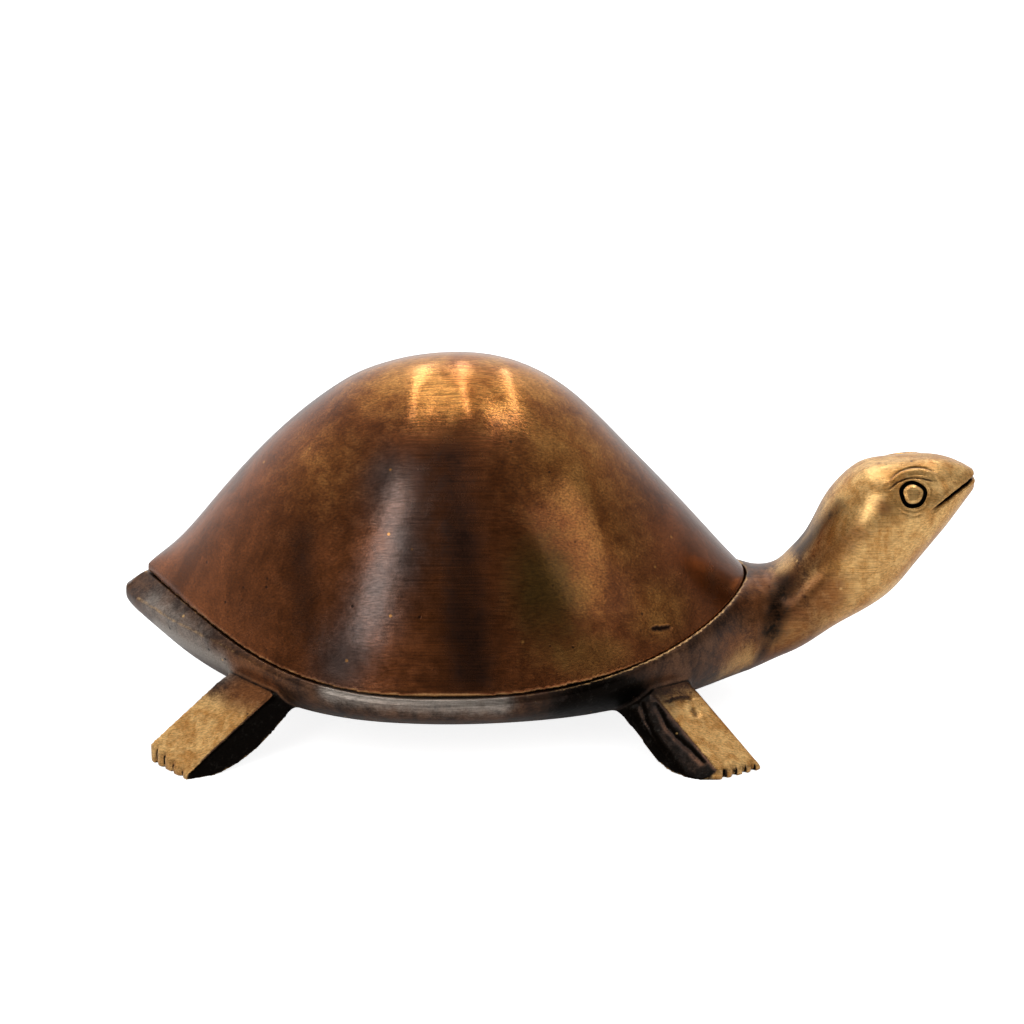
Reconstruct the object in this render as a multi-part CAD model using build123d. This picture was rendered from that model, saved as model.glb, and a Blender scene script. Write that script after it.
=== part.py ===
from build123d import *
import math
import os

# Turtle figurine in cast and patinated brass, made as a lidded box.
# A domed shell lifts off a shallow bowl that stands on four cast legs.
# Millimetres. +X runs towards the head, +Z up, and the figure is mirrored about the XZ plane.
# The origin lies on the floor, midway between the tail tip and the nose.

# Lengths along the figure
tail_overhang = 8.0
shell_length = 216.0
neck_reach = 81.0
overall_length = tail_overhang + shell_length + neck_reach
tail_tip_x = -overall_length / 2
shell_rear_x = tail_tip_x + tail_overhang
shell_front_x = shell_rear_x + shell_length
nose_x = shell_front_x + neck_reach

# Shell, a dome with a leaf-shaped rear tip and a round front tip
shell_half_width = 76.0
crest_height = 127.3
rim_low_height = 29.3
rim_sweep = 17.3
lip_height = 4.0
shell_wall = 3.5
shell_flare = 2.0
flare_fade = 3
widest_share = 0.522
rear_fullness = 2.6
front_fullness = 0.6
crest_sharpness = 1.5

# Share of the shell's length from its rear tip, then the crest's share of the rise from the low rim,
# the rim's share of its sweep, and the lip's share of its height
shell_shares = [
    (0.0, 0.204, 1.0, 0.6),
    (0.02, 0.240, 0.98, 0.85),
    (0.05, 0.292, 0.93, 0.9),
    (0.10, 0.415, 0.79, 0.6),
    (0.15, 0.545, 0.585, 0.4),
    (0.20, 0.662, 0.39, 0.3),
    (0.26, 0.782, 0.225, 0.25),
    (0.33, 0.891, 0.09, 0.25),
    (0.41, 0.969, 0.015, 0.25),
    (0.50, 1.0, 0.0, 0.25),
    (0.57, 0.992, 0.01, 0.25),
    (0.64, 0.950, 0.045, 0.25),
    (0.71, 0.851, 0.105, 0.25),
    (0.78, 0.700, 0.195, 0.25),
    (0.85, 0.539, 0.33, 0.25),
    (0.91, 0.396, 0.505, 0.4),
    (0.96, 0.272, 0.665, 0.7),
    (1.0, 0.182, 0.79, 1.0),
]
dome_station_shares = [0.002, 0.02, 0.05, 0.10, 0.17, 0.26, 0.37, 0.49, 0.60, 0.70, 0.79, 0.87, 0.93, 0.97,
                       0.99, 0.998]

# Seat of the shell on the bowl: a land round the rim, and a flange on the shell that drops inside it
seat_gap = 0.3
rim_overhang = 0.5
land_width = 3.0
flange_clearance = 0.4
flange_thickness = 2.2
flange_step = 0.7
flange_depth = 3.0
flange_root = 1.0
collar_clearance = 0.5
collar_thickness = 1.2
collar_height = 3.6
rim_trim = 0.6

# Bowl, with its tail ledge behind and the stump of the neck in front
bowl_half_width = shell_half_width + 2.0
gunwale_height = 27.4
keel_height = 7.9
floor_thickness = 4.0
bilge_fullness = 2.3
neck_flat = 3.0
tail_flat = 0.8
tail_fall = 5.0

# Share of the overall length from the tail tip, then the gunwale's share of the bowl's half width,
# the gunwale's height and the keel's height as shares of their heights amidships,
# and how far the shoulder above the gunwale bulges from a straight facet
bowl_shares = [
    (0.001, 0.026, 1.445, 4.66, 0.0),
    (0.012, 0.105, 1.46, 4.24, 0.0),
    (0.028, 0.195, 1.465, 3.86, 0.0),
    (0.051, 0.300, 1.452, 3.28, 0.0),
    (0.080, 0.425, 1.416, 2.60, 0.0),
    (0.116, 0.566, 1.390, 1.97, 0.0),
    (0.159, 0.700, 1.277, 1.47, 0.1),
    (0.211, 0.842, 1.150, 1.16, 0.3),
    (0.270, 0.942, 1.040, 1.09, 0.4),
    (0.336, 0.992, 1.0, 1.06, 0.4),
    (0.402, 1.0, 1.0, 1.03, 0.4),
    (0.467, 0.974, 1.015, 1.02, 0.4),
    (0.533, 0.903, 1.058, 0.94, 0.5),
    (0.589, 0.800, 1.125, 0.91, 0.6),
    (0.634, 0.688, 1.180, 0.91, 0.7),
    (0.670, 0.585, 1.185, 1.03, 0.8),
    (0.697, 0.475, 1.175, 1.15, 0.8),
    (0.716, 0.392, 1.170, 1.24, 0.9),
    (0.738, 0.318, 1.175, 1.40, 1.0),
]

# Share of the overall length, then the collar's share of its thickness and of its height
collar_shares = [
    (0.50, 0.0, 0.0),
    (0.589, 0.6, 0.10),
    (0.634, 1.0, 0.22),
    (0.670, 1.0, 0.34),
    (0.697, 1.0, 0.50),
    (0.716, 1.0, 0.72),
    (0.738, 1.0, 1.0),
]

# Neck and head: each ring's centre as shares of the neck's reach ahead of the shell and of the head's height,
# its half height and half width as shares of the neck's radius, and its lean in degrees
head_height = 92.0
neck_radius = 21.0
head_fullness = 2.1
neck_ring_shares = [
    (0.086, 0.319, 0.868, 0.97, -4),
    (0.200, 0.374, 0.825, 0.93, 5),
    (0.310, 0.452, 0.808, 0.90, 18),
    (0.398, 0.525, 0.875, 0.89, 28),
    (0.486, 0.614, 0.991, 0.93, 35),
    (0.573, 0.711, 0.995, 0.94, 37),
    (0.663, 0.789, 0.898, 0.90, 38),
    (0.749, 0.836, 0.752, 0.81, 40),
    (0.835, 0.877, 0.575, 0.66, 39),
    (0.915, 0.901, 0.390, 0.45, 34),
    (0.970, 0.902, 0.225, 0.27, 25),
    (0.994, 0.900, 0.125, 0.15, 8),
]

# Eyes, each a boss left standing in a punched ring, and the sawn mouth
eye_radius = 5.1
eye_boss_radius = 3.5
eye_groove_depth = 1.9
eye_along_share = 0.702
eye_up_share = 0.889
eye_side_share = 0.785
eye_lift = 29
eye_turn = 3
mouth_opening = 2.7
mouth_corner = 0.9
mouth_length = 18.5
mouth_up_share = 0.878
mouth_slope = 26

# Legs: each starts from the near top corner of its root, so far from the shell's widest place,
# at shares of the bowl's half width and gunwale height there, and runs out along its heading.
# Each heel row holds shares of the leg's run and of its height.
front_root_ahead = 65.0
front_side_share = 0.93
front_height_share = 0.825
front_heading = 43.4
front_width = 16.0
front_run = 38.8
front_toe_thickness = 3.5
front_tilt = 5
front_flare = 8.0
front_heel_shares = [(0.57, 0.0), (0.40, 0.05), (0.235, 0.19), (0.065, 0.39), (-0.18, 0.59), (-0.46, 0.76)]
rear_root_behind = 62.8
rear_side_share = 1.0
rear_height_share = 0.745
rear_heading = 151.1
rear_width = 20.0
rear_run = 38.0
rear_toe_thickness = 1.4
rear_tilt = 19
rear_flare = 2.0
rear_heel_shares = [(0.59, 0.0), (0.39, 0.10), (0.21, 0.25), (0.055, 0.43), (-0.075, 0.61), (-0.35, 0.85)]
leg_inset = 12.0
leg_wall_shares = [(0.0, 0.0), (-0.75, -0.3), (-1.0, -0.55), (-1.0, -1.0)]
toe_skew = 4.8
toe_rounding = 2.6
toe_notch_width = 1.6
toe_notch_depth = 2.4
toe_notch_shares = [0.14, 0.38, 0.62, 0.84]

# Places on the curves that the forms are drawn through, in degrees of their quarter turn
arch_angles = [0, 8, 18, 30, 45, 62, 78, 90]
hull_angles = [0, 10, 24, 42, 64, 90]
shoulder_angles = [0, 30, 60, 90]
rear_plan_angles = [90, 64, 48, 35, 22, 11, 0]
front_plan_angles = [15, 32, 48, 62, 74, 83]

cut_overrun = 2.0


def column(table, number):
    """Two columns of a table of shares: the place along the figure and one of the others."""
    return [(row[0], row[number]) for row in table]


def smooth_value(share, table):
    """Reads a smooth curve through the rows of a table of shares."""
    last = len(table) - 1
    row = 0
    while row < last - 1 and share > table[row + 1][0]:
        row += 1
    (x0, y0), (x1, y1) = table[row], table[row + 1]

    def slope(place):
        before, after = max(place - 1, 0), min(place + 1, last)
        return (table[after][1] - table[before][1]) / (table[after][0] - table[before][0])

    span = x1 - x0
    t = min(max((share - x0) / span, 0), 1)
    start, end = slope(row) * span, slope(row + 1) * span
    return (y0 * (2 * t**3 - 3 * t**2 + 1) + start * (t**3 - 2 * t**2 + t)
            + y1 * (3 * t**2 - 2 * t**3) + end * (t**3 - t**2))


def shell_value(x, number):
    """One of the shell's shares at a place along the figure."""
    return smooth_value((x - shell_rear_x) / shell_length, column(shell_shares, number))


def bowl_value(x, number):
    """One of the bowl's shares at a place along the figure."""
    return smooth_value((x - tail_tip_x) / overall_length, column(bowl_shares, number))


def rim_height(x):
    """Height of the seam between shell and bowl."""
    return rim_low_height + rim_sweep * shell_value(x, 2)


def plan_ends(growth):
    """Rear tip, widest place and front tip of the shell's plan, grown by a margin."""
    return shell_rear_x - growth, shell_rear_x + widest_share * shell_length, shell_front_x + growth


def plan_half_width(x, growth=0):
    """Half width of the shell's plan, grown by a margin."""
    rear, widest, front = plan_ends(growth)
    if x < widest:
        share = min((widest - x) / (widest - rear), 1)
        return (shell_half_width + growth) * (1 - share**rear_fullness)
    share = min((x - widest) / (front - widest), 1)
    return (shell_half_width + growth) * (1 - share**2)**front_fullness


def plan_block(growth, high):
    """Upright block over the shell's plan, grown by a margin, from the floor up."""
    rear, widest, front = plan_ends(growth)
    places = [widest + (rear - widest) * math.sin(math.radians(angle)) for angle in rear_plan_angles]
    places += [widest + (front - widest) * math.sin(math.radians(angle)) for angle in front_plan_angles]
    side = [(x, plan_half_width(x, growth)) for x in places]
    outline = side + [(front, 0)] + [(x, -y) for x, y in reversed(side)]
    return extrude(make_face(Spline(*outline)), high)


def above_rim(offset):
    """Everything over the seam surface, which is level from side to side."""
    line = []
    for row in shell_shares:
        x = shell_rear_x + row[0] * shell_length
        line.append((x, 0, rim_height(x) + offset))
    roof = 2 * crest_height
    rear, front = line[0], line[-1]
    wall = Polyline(rear, (rear[0] - overall_length, 0, rear[2]), (rear[0] - overall_length, 0, roof),
                    (front[0] + overall_length, 0, roof), (front[0] + overall_length, 0, front[2]), front)
    return extrude(make_face([Spline(*line), wall]), 2 * shell_half_width, dir=(0, 1, 0), both=True)


def dome(side_inset, top_inset, depth):
    """Closed dome of the shell's form, inset from it, that reaches a depth below the seam."""
    rear, _, front = plan_ends(-side_inset)
    sections = []
    for share in dome_station_shares:
        x = rear + share * (front - rear)
        half = plan_half_width(x, -side_inset)
        foot = rim_height(x) - depth
        lip = rim_height(x) + lip_height * shell_value(x, 3)
        crest = rim_low_height + (crest_height - rim_low_height) * shell_value(x, 1)
        rise = max(crest - top_inset - lip, seat_gap)
        flare = shell_flare * min(2 * half / shell_half_width, 1)
        side = []
        for angle in arch_angles:
            bend = math.radians(angle)
            across = (half - flare) * math.cos(bend) + flare * (1 - math.sin(bend))**flare_fade
            side.append((x, across, lip + rise * math.sin(bend)**crest_sharpness))
        arch = Spline(*(side + [(x, -y, z) for x, y, z in reversed(side[:-1])]))
        foot_left, foot_right = (x, half, foot), (x, -half, foot)
        walls = [Line(foot_left, side[0]), Line((x, -half, lip), foot_right), Line(foot_right, foot_left)]
        sections.append(Wire([walls[0].edge(), arch.edge(), walls[1].edge(), walls[2].edge()]))
    return Solid.make_loft(sections)


def hull_points(half_width, depth, fullness):
    """The rounded underside of a ring, from its side down to its keel and up again, as (across, up)."""
    side = []
    for angle in hull_angles[:-1]:
        bend = math.radians(angle)
        side.append((half_width * math.cos(bend)**(2 / fullness), -depth * math.sin(bend)**(2 / fullness)))
    return side + [(0, -depth)] + [(-across, up) for across, up in reversed(side)]


def ring(centre_x, centre_z, lean, half_width, top, top_half, depth, fullness, bulge):
    """Closed ring round the figure: a rounded hull, two shoulders and a flat strip on top."""
    slant = math.radians(lean)

    def place(across, up):
        return (centre_x - up * math.sin(slant), across, centre_z + up * math.cos(slant))

    shoulder = []
    for angle in shoulder_angles:
        bend, share = math.radians(angle), angle / shoulder_angles[-1]
        straight = (half_width + (top_half - half_width) * share, top * share)
        rounded = (top_half + (half_width - top_half) * math.cos(bend), top * math.sin(bend))
        shoulder.append(tuple(s + (r - s) * bulge for s, r in zip(straight, rounded)))
    hull = Spline(*[place(*point) for point in hull_points(half_width, depth, fullness)])
    left = Spline(*[place(-across, up) for across, up in shoulder])
    strip = Line(place(-top_half, top), place(top_half, top))
    right = Spline(*[place(across, up) for across, up in reversed(shoulder)])
    return Wire([hull.edge(), left.edge(), strip.edge(), right.edge()])


def neck_ring(row):
    """One ring of the neck or head."""
    along, up, half_height, half_width, lean = row
    height = half_height * neck_radius
    return ring(shell_front_x + along * neck_reach, up * head_height, lean, half_width * neck_radius,
                height, neck_flat * half_width, height, head_fullness, 1)


def bowl_ring(row):
    """One ring of the bowl, whose flat top stands just over the seam, or forms the collar by the neck."""
    along, width, gunwale, keel, bulge = row
    x = tail_tip_x + along * overall_length
    across = smooth_value(along, column(collar_shares, 1))
    reach = (rim_overhang + collar_clearance + collar_thickness) * across - rim_overhang
    land = plan_half_width(min(max(x, shell_rear_x), shell_front_x)) + reach
    behind = min(max(shell_rear_x - x, 0) / tail_overhang, 1)
    collar = collar_height * smooth_value(along, column(collar_shares, 2))
    top = rim_height(x) + rim_trim * (1 - behind) + collar - tail_fall * behind
    top_half = max(land, tail_flat if x < 0 else neck_flat)
    centre = gunwale * gunwale_height
    return ring(x, centre, 0, width * bowl_half_width, top - centre, top_half, centre - keel * keel_height,
                bilge_fullness, bulge)


def bowl_cavity():
    """Inside of the bowl under its rim pocket, rounded down to the floor."""
    inset = land_width + flange_step
    rear, _, front = plan_ends(-inset)
    sections = []
    for share in dome_station_shares:
        x = rear + share * (front - rear)
        half = plan_half_width(x, -inset)
        step = rim_height(x) - flange_depth - rim_trim
        floor = min(keel_height * bowl_value(x, 3) + floor_thickness, step - rim_trim)
        hull = [(x, across, step + up) for across, up in hull_points(half, step - floor, bilge_fullness)]
        high = rim_height(x) + cut_overrun
        roof = Polyline(hull[-1], (x, -half, high), (x, half, high), hull[0])
        sections.append(Wire([Spline(*hull).edge()] + roof.edges()))
    return Solid.make_loft(sections)


def largest(shape):
    """The largest solid of a shape."""
    return shape.solids().sort_by(SortBy.VOLUME)[-1]


def leg(side, ahead, side_share, height_share, heading, width, run, toe_thickness, tilt, flare, heel_shares):
    """One leg: a flat sloping top face, splayed sides, a rounded heel and a flat sole with filed toes."""
    x = plan_ends(0)[1] + ahead
    y = side * side_share * bowl_value(x, 1) * bowl_half_width
    height = height_share * bowl_value(x, 2) * gunwale_height
    reach, lift, splay = run + leg_inset, 2 * height, flare + cut_overrun
    near = run - toe_skew

    heel_line = [(run * along, 0, height * up) for along, up in heel_shares]
    toe_end, back = heel_line[0], heel_line[-1]
    outline = Polyline(back, (-reach, 0, back[2]), (-reach, 0, lift), (reach, 0, lift), (reach, 0, 0), toe_end)
    profile = extrude(make_face([Spline(*heel_line), outline]), 2 * (width + flare), dir=(0, 1, 0), both=True)

    fall = math.atan((height - toe_thickness) / near)
    downhill = Vector(math.cos(fall), 0, -math.sin(fall))
    cross = math.tan(math.radians(tilt)) * width
    near_wall = [(flare * out, height * down) for out, down in leg_wall_shares]
    far_wall = [(width - out, cross + down) for out, down in reversed(near_wall)]
    section = Plane(origin=(0, 0, height), x_dir=(0, 1, 0), z_dir=downhill) * make_face(
        Polyline(*(near_wall + far_wall), close=True))
    beam = extrude(section, 2 * reach, both=True)

    corners = [(-leg_inset, -splay), (near - flare - toe_rounding, -splay), (near, 0), (run, width),
               (run - 2 * toe_rounding, width + splay), (-leg_inset, width + splay)]
    plan = make_face(Polyline(*corners, close=True))
    plan = fillet(plan.vertices().sort_by(Axis.X)[-3:], toe_rounding)
    foot = profile & beam & extrude(plan, lift)

    toe_line = Vector(toe_skew, width)
    along_toes = toe_line.normalized()
    inward = Vector(-along_toes.Y, along_toes.X)
    for share in toe_notch_shares:
        middle = Vector(near, 0) + toe_line * share
        mouth_end = middle - inward * toe_notch_width
        notch = Polyline(mouth_end - along_toes * toe_notch_width, mouth_end + along_toes * toe_notch_width,
                         middle + inward * toe_notch_depth, close=True)
        foot -= extrude(make_face(notch), lift)
    return Location((x, y, 0), (0, 0, side * heading)) * foot


# Shell, hollow, with its locating flange
shell_cavity_inset = land_width + flange_clearance + flange_thickness - flange_step
shell_solid = dome(0, 0, cut_overrun) & above_rim(seat_gap)
shell_solid = shell_solid - dome(shell_cavity_inset, shell_wall, 2 * cut_overrun)
flange = plan_block(-land_width - flange_clearance, crest_height)
flange = flange - plan_block(-land_width - flange_clearance - flange_thickness, crest_height)
flange = (flange & above_rim(-flange_depth)) - above_rim(flange_root)
shell_lid = largest(shell_solid + flange)

# Bowl, with a flat land for the shell, a pocket for its flange and a collar by the neck
bowl_outer = Solid.make_loft([bowl_ring(row) for row in bowl_shares] + [neck_ring(neck_ring_shares[0])])
seat_block = plan_block(collar_clearance, 2 * crest_height) & above_rim(0)
rim_pocket = plan_block(-land_width, 2 * crest_height) & above_rim(-flange_depth - rim_trim)
body_bowl = largest(bowl_outer - seat_block - bowl_cavity() - rim_pocket)

# Neck and head, with punched eyes and a sawn mouth
neck_and_head = Solid.make_loft([neck_ring(row) for row in neck_ring_shares])
eye_axis = Vector(1, 0, 0).rotate(Axis.Y, -eye_lift).rotate(Axis.Z, 90 - eye_turn)
for side in (1, -1):
    outward = Vector(eye_axis.X, side * eye_axis.Y, eye_axis.Z)
    centre = Vector(shell_front_x + eye_along_share * neck_reach, side * eye_side_share * neck_radius,
                    eye_up_share * head_height)
    socket = Plane(origin=centre - outward * eye_groove_depth, z_dir=outward)
    neck_and_head -= extrude(socket * (Circle(eye_radius) - Circle(eye_boss_radius)), eye_radius)
slope = math.radians(mouth_slope)
mouth = Plane(origin=(nose_x, 0, mouth_up_share * head_height), x_dir=(-math.cos(slope), 0, -math.sin(slope)),
              z_dir=(0, 1, 0))
slit = make_face(Polyline((-cut_overrun, -mouth_opening / 2), (mouth_length, -mouth_corner / 2),
                          (mouth_length, mouth_corner / 2), (-cut_overrun, mouth_opening / 2), close=True))
neck_and_head = largest(neck_and_head - extrude(mouth * slit, neck_radius, both=True))

# Legs, seated against the bowl's hull
front_right_leg = leg(-1, front_root_ahead, front_side_share, front_height_share, front_heading, front_width,
                      front_run, front_toe_thickness, front_tilt, front_flare, front_heel_shares)
rear_left_leg = leg(1, -rear_root_behind, rear_side_share, rear_height_share, rear_heading, rear_width,
                    rear_run, rear_toe_thickness, rear_tilt, rear_flare, rear_heel_shares)

nodes = {"shell_lid": shell_lid, "body_bowl": body_bowl, "neck_and_head": neck_and_head}
for raw, name, twin in ((front_right_leg, "front_right_leg", "front_left_leg"),
                        (rear_left_leg, "rear_left_leg", "rear_right_leg")):
    nodes[name] = largest(raw - bowl_outer - seat_block)
    nodes[twin] = mirror(nodes[name], about=Plane.XZ)

os.makedirs("parts", exist_ok=True)
for name, solid in nodes.items():
    export_step(solid, f"parts/{name}.step")
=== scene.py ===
"""Turtle figurine in cast and patinated brass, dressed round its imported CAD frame.

Each casting starts from its own CAD node, is given one even skin, and is then worked as the real one was:
engraved, filed, dented, rubbed bright on its high places and left dark in its hollows.
"""

import logging
import math
from collections.abc import Callable
from dataclasses import dataclass, field
from enum import Enum
from functools import partial

import bpy
import numpy as np
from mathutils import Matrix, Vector
from mathutils.bvhtree import BVHTree
from mathutils.kdtree import KDTree


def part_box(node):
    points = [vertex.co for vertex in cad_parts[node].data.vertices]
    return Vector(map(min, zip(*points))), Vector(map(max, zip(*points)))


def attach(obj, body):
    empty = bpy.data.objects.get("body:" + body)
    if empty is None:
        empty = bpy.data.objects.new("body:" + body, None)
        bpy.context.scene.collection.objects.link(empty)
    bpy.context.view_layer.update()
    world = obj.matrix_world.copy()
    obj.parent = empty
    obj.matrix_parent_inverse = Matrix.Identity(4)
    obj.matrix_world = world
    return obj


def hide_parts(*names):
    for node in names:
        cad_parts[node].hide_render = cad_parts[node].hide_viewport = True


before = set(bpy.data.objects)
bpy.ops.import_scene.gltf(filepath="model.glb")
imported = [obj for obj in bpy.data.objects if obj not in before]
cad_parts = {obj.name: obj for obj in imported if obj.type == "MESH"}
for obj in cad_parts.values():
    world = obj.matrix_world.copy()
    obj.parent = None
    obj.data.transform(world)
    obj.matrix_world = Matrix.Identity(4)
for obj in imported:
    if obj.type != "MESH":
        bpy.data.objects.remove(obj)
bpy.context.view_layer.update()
LOG = logging.getLogger("turtle")
MM = 0.001
FAR = 1e3
NOISE, MAPPING = "ShaderNodeTexNoise", "ShaderNodeMapping"
MATH, RAMP, MIX = "ShaderNodeMath", "ShaderNodeMapRange", "ShaderNodeMix"
Socket = bpy.types.NodeSocket
AddNode = Callable[..., Socket]
Pair = tuple[float, float]
Point = tuple[float, float, float]
SMOOTH = {"interpolation_type": "SMOOTHSTEP"}
COLOURS = {"out": 2, "data_type": "RGBA"}


def linear(hue: str) -> tuple[float, float, float, float]:
    """Turns an sRGB hex colour into linear values.

    Args:
        hue: The colour as six hex digits.

    Returns:
        Linear red, green and blue, with an alpha of one.
    """
    shares = [int(hue[start:start + 2], 16) / 255 for start in (0, 2, 4)]
    return tuple(c / 12.92 if c <= 0.04045 else ((c + 0.055) / 1.055) ** 2.4 for c in shares) + (1.0,)


def per_metre(size: float) -> float:
    """Scale of a pattern whose grains are so many millimetres across."""
    return 1 / (size * MM)


def add(tree: bpy.types.NodeTree, kind: str, inputs: dict | None = None, out: int | str = 0, **settings) -> Socket:
    """Adds one node with its settings and links.

    Args:
        tree: The node tree that it goes into.
        kind: The node's type.
        inputs: For each socket, by name or number, its value or the output that feeds it.
        out: Which output is wanted, by name or number.
        settings: The node's own properties.

    Returns:
        The wanted output, or nothing where the node has none.
    """
    node = tree.nodes.new(kind)
    for name, value in settings.items():
        setattr(node, name, value)
    for key, value in (inputs or {}).items():
        if isinstance(value, Socket):
            tree.links.new(value, node.inputs[key])
        else:
            node.inputs[key].default_value = value
    return node.outputs[out] if node.outputs else None


def rising(values: np.ndarray, start: float, run: float) -> np.ndarray:
    """0 up to the start and 1 from a run past it, which may lie on either side."""
    return np.clip((values - start) / run, 0, 1)


def read(items: bpy.types.bpy_prop_collection, name: str, width: int = 1, kind: type = np.float32) -> np.ndarray:
    """Reads one property of a mesh's points, edges or faces.

    Args:
        items: The points, edges or faces.
        name: The property.
        width: How many numbers it has.
        kind: The numbers' type.

    Returns:
        For each item a number, or a row where there are more.
    """
    flat = np.empty(len(items) * width, kind)
    items.foreach_get(name, flat)
    return flat.reshape(-1, width) if width > 1 else flat


def go_to(mode: str) -> None:
    """Goes to edit mode or back to object mode."""
    bpy.ops.object.mode_set(mode=mode)


def pick(piece: bpy.types.Object) -> None:
    """Makes one object the only one that is selected.

    Args:
        piece: The object.
    """
    bpy.ops.object.select_all(action="DESELECT")
    piece.select_set(True)
    bpy.context.view_layer.objects.active = piece


class Layer(Enum):
    """What a place on the metal can be, and where a reflection is painted on it: each is a point attribute from 0 to 1.
    """

    RUBBED = "rubbed"
    OXIDE = "oxide"
    TINGE = "tinge"
    # Painted sheen: a pale grey laid where the lamps' reflection falls, a painted reflection and highlight, not patina
    PAINTED_SHEEN = "sheen"
    WORN = "worn"


RUBBED, OXIDE, TINGE, PAINTED_SHEEN, WORN = Layer
# Where each layer's edge starts and ends, which makes it hard or soft
LAYER_EDGES = {RUBBED: (0.15, 0.85), OXIDE: (0.2, 0.8), TINGE: (0.2, 0.8), PAINTED_SHEEN: (0.0, 1.0), WORN: (0.35, 0.85)}


@dataclass(frozen=True)
class Stain:
    """A soft patch of one layer, in millimetres, with its twin on the other side of the figure."""

    layer: Layer
    centre: Point
    radii: Point
    amount: float


@dataclass(frozen=True)
class Stroke:
    """A soft stripe of one layer along a line, in millimetres, with its twin on the other side."""

    layer: Layer
    path: tuple[Point, ...]
    width: float
    amount: float


@dataclass(frozen=True)
class Eye:
    """A punched eye: a filed eight-sided boss in a dark ring, in millimetres, with its twin."""

    centre: Point = (128.4, -15.8, 81.5)
    outward: Point = (0.05, -0.87, 0.49)
    reach: float = 6.4
    flat: float = 2.3
    boss: float = 3.7
    ring: float = 5.0
    height: float = 0.6
    depth: float = 1.25
    facets: int = 8
    boss_fall: float = 1.1
    wall_runs: Pair = (0.35, 0.4)
    lip: float = 0.18
    lip_reach: float = 0.35
    lip_width: float = 0.45
    shade_reach: float = 0.5
    shade_past: float = 0.15
    shade_run: float = 0.4
    # The punch was struck by hand, so its ring strays: so many waves round it, where they start, and how far
    strays: tuple[tuple[int, float, float], ...] = ((3, 1.0, 0.13), (5, 0.0, 0.09))

    def about(self, points: np.ndarray, side: int) -> tuple[np.ndarray, np.ndarray, np.ndarray]:
        """Places points about the eye's axis.

        Args:
            points: The points.
            side: 1 for this eye and -1 for its twin.

        Returns:
            The axis, and for each point its radius and its distance across the faceted boss.
        """
        axis = np.array(self.outward) * (1, side, 1)
        axis /= np.linalg.norm(axis)
        away = points - np.array(self.centre) * (1, side, 1)
        along = np.cross(axis, (0, 0, 1))
        along /= np.linalg.norm(along)
        u, v = away @ along, away @ np.cross(axis, along)
        radius = np.sqrt(u ** 2 + v ** 2) + FAR * (np.abs(away @ axis) > self.reach)
        angle = np.arctan2(v, u)
        for waves, start, stray in self.strays:
            radius = radius + stray * np.sin(waves * angle + start)
        facet = 2 * math.pi / self.facets
        turn = np.mod(angle + facet / 2, facet) - facet / 2
        return axis, radius, radius * np.cos(turn)

    def rise(self, radius: np.ndarray, across: np.ndarray) -> np.ndarray:
        """Works out how high the metal stands at each point, from the smooth cheek.

        Args:
            radius: Each point's distance from the axis.
            across: Its distance across the boss.

        Returns:
            The heights.
        """
        slope = rising(across, self.flat, self.boss - self.flat)
        boss = self.height - self.boss_fall * self.height * slope
        inner, outer = self.wall_runs
        wall = rising(radius, self.boss, inner) * rising(radius, self.ring, -outer)
        lip = self.lip * np.exp(-((radius - self.ring - self.lip_reach) / self.lip_width) ** 2)
        return np.where(radius < self.boss, boss, 0) - self.depth * wall + lip

    def shade(self, radius: np.ndarray) -> np.ndarray:
        """How dark the ring and the boss's foot are left."""
        inside = rising(radius - self.boss, -self.shade_reach, self.shade_run)
        return inside * rising(radius, self.ring + self.shade_past, -self.shade_run)


@dataclass(frozen=True)
class Cut:
    """A line that a tool left in the metal, in millimetres, with its twin on the other side.

    A positive depth is cut in, a negative one stands proud. The burr is the metal thrown up beside it.
    """

    path: tuple[Point, ...]
    width: float
    depth: float
    burr: float = 0.0
    oxide: float = 0.8
    tapered: bool = True
    twin: bool = True
    # In widths of the line, from its middle
    burr_at: float = 1.3
    burr_width: float = 0.4
    shade_to: float = 1.25

    def profile(self, reach: np.ndarray, share: np.ndarray) -> tuple[np.ndarray, np.ndarray]:
        """Works out what the line does to the metal.

        Args:
            reach: How far each point lies from the line.
            share: How far along the line it lies.

        Returns:
            How far each point is moved out, and how dark it is left.
        """
        ratio = reach / self.width
        fade = 1 - np.abs(2 * share - 1) ** 6 if self.tapered else 1.0
        groove = np.clip(1 - ratio ** 2, 0, 1) ** 1.5 * fade
        burr = np.exp(-((ratio - self.burr_at) / self.burr_width) ** 2) * fade
        return self.burr * burr - self.depth * groove, self.oxide * rising(ratio, self.shade_to, -1) * fade


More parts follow.
